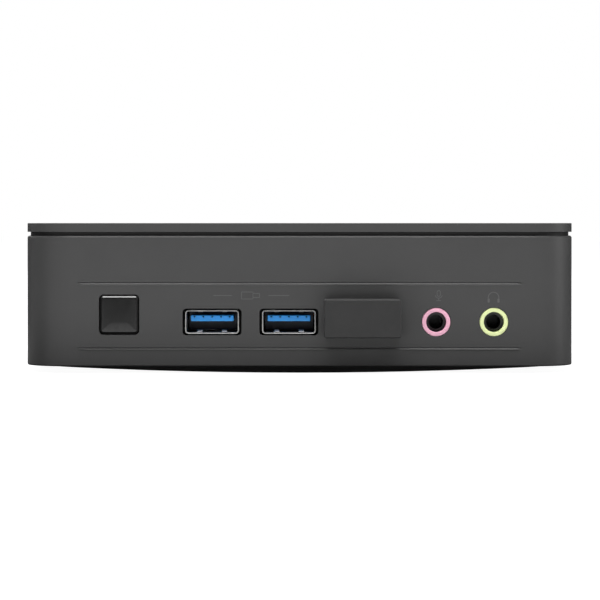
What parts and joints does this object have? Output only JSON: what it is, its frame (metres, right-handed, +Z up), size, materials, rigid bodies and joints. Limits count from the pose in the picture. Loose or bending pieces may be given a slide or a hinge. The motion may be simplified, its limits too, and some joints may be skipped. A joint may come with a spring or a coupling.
{
  "type": "mini pc",
  "caption": "Compact desktop computer in a low grey case with a power button, front audio and data sockets, a pull-off dongle cap, rear connectors, a cooling blower and boards inside.",
  "frame": {"origin": "on the table surface, at the feet's undersides, under the middle of the whole object with its dongle cap on", "axes": "+X to the right seen from the front, +Y from the front face to the rear connectors, +Z up"},
  "size_m": [0.135, 0.123, 0.0368],
  "materials": {
    "grey_plastic": "fine satin grain",
    "black_plastic": "plain moulded",
    "black_gloss": "polished",
    "black_metal": "matt black paint",
    "rubber": "matt",
    "steel": "bright nickel plate",
    "aluminium": "plain rolled",
    "copper": "bright copper",
    "board_green": "solder mask over glass laminate",
    "usb_blue": "plain moulded",
    "mic_pink": "plain moulded",
    "phone_green": "plain moulded"
  },
  "bodies": {
    "case": {"case_shell": "grey_plastic", "top_lid": "grey_plastic", "upper_frame": "black_plastic", "bottom_cover": "black_metal", "foot_front_left": "rubber", "foot_front_right": "rubber", "foot_rear_left": "rubber", "foot_rear_right": "rubber", "cover_screw_front_left": "steel", "cover_screw_front_right": "steel", "cover_screw_rear_left": "steel", "cover_screw_rear_right": "steel", "rear_panel": "black_metal", "power_switch": "steel", "usb_left_shell": "steel", "usb_left_insert": "usb_blue", "usb_right_shell": "steel", "usb_right_insert": "usb_blue", "usb_hidden_shell": "steel", "usb_hidden_insert": "black_plastic", "mic_jack": "black_plastic", "mic_ring": "mic_pink", "headphone_jack": "black_plastic", "headphone_ring": "phone_green", "usb_rear_fast_shell": "steel", "usb_rear_fast_insert": "usb_blue", "usb_rear_basic_shell": "steel", "usb_rear_basic_insert": "black_plastic", "hdmi_shell": "steel", "hdmi_tongue": "black_plastic", "displayport_shell": "steel", "displayport_tongue": "black_plastic", "lan_port": "steel", "power_inlet": "black_plastic", "power_inlet_pin": "steel", "motherboard": "board_green", "processor": "black_gloss", "cold_plate": "copper", "heat_pipe": "copper", "fin_stack": "aluminium", "fan_housing": "black_plastic", "fan_cover": "steel", "memory_socket_front": "black_plastic", "memory_module_front": "board_green", "memory_socket_rear": "black_plastic", "memory_module_rear": "board_green", "ssd_module": "board_green", "ssd_socket": "black_plastic", "ssd_screw": "steel", "wifi_module": "board_green", "wifi_socket": "black_plastic", "antenna_side": "copper", "antenna_front": "copper", "antenna_lead_side": "black_plastic", "antenna_lead_front": "black_plastic", "rtc_battery": "steel"},
    "power_button": {"power_button": "black_gloss", "switch_plunger": "black_plastic"},
    "dongle_cap": {"dongle_cap": "rubber"},
    "fan_impeller": {"fan_impeller": "black_plastic"}
  },
  "joints": [
    {"name": "power_button_press", "type": "slide", "parent": "case", "child": "power_button", "axis": [0, 1, 0], "range_m": [0, 0.0005], "stiffness_N_per_m": 1500, "springref_m": -0.0003},
    {"name": "dongle_cap_pull", "type": "slide", "parent": "case", "child": "dongle_cap", "axis": [0, -1, 0], "range_m": [0, 0.02]},
    {"name": "fan_spin", "type": "hinge", "parent": "case", "child": "fan_impeller", "pos_m": [0.008, 0.002, 0.025], "axis": [0, 0, 1], "continuous": true}
  ]
}
